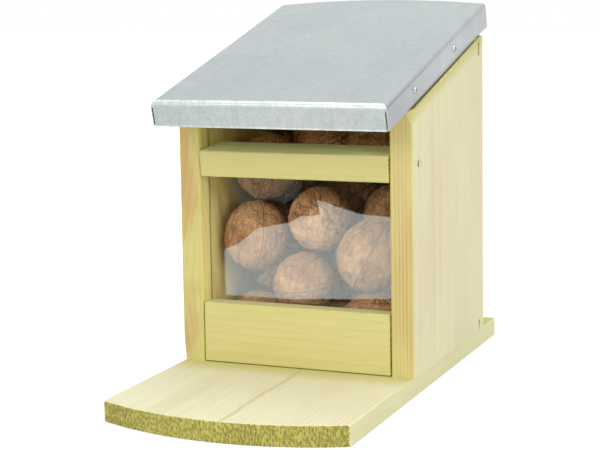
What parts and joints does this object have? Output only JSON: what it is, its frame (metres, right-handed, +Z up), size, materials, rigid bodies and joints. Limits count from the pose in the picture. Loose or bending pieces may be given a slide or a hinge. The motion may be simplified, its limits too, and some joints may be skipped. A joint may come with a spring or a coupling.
{
  "type": "squirrel feeder box",
  "caption": "Wooden squirrel feeder box with a bowed feeding board, a clear front window, a filling of walnuts and a sloping hinged lid capped in sheet metal",
  "frame": {"origin": "middle of the base board's bounding box, on its underside", "axes": "+Z up, +Y from the bowed front edge to the back, +X to the right as seen from the front"},
  "size_m": [0.126, 0.242, 0.1924],
  "materials": {
    "cap_metal": "dull galvanised sheet with faint spangle",
    "fastener_metal": "zinc plated",
    "hinge_metal": "zinc plated, satin",
    "walnut_shell": "dry tan shell with fine ridges",
    "window_plastic": "clear glossy sheet",
    "wood": "planed softwood, pale yellow-green pressure-treated tone"
  },
  "bodies": {
    "box": {"base_board": "wood", "side_wall_left": "wood", "side_wall_right": "wood", "front_board": "wood", "top_rail": "wood", "back_board": "wood", "window_sheet": "window_plastic", "rail_nails": "fastener_metal", "back_board_nails": "fastener_metal", "base_screws": "fastener_metal", "hinge_frame_leaf_left": "hinge_metal", "hinge_pin_left": "hinge_metal", "hinge_frame_leaf_right": "hinge_metal", "hinge_pin_right": "hinge_metal", "hinge_screws_frame": "fastener_metal", "walnuts": "walnut_shell"},
    "lid": {"lid_board": "wood", "roof_cap": "cap_metal", "cap_nails": "fastener_metal", "hinge_lid_leaf_left": "hinge_metal", "hinge_lid_leaf_right": "hinge_metal", "hinge_screws_lid": "fastener_metal"}
  },
  "joints": [
    {"name": "lid_hinge", "type": "hinge", "parent": "box", "child": "lid", "pos_m": [0, 0.09615, 0.17109], "axis": [-1, 0, 0], "range_deg": [0, 110]}
  ]
}
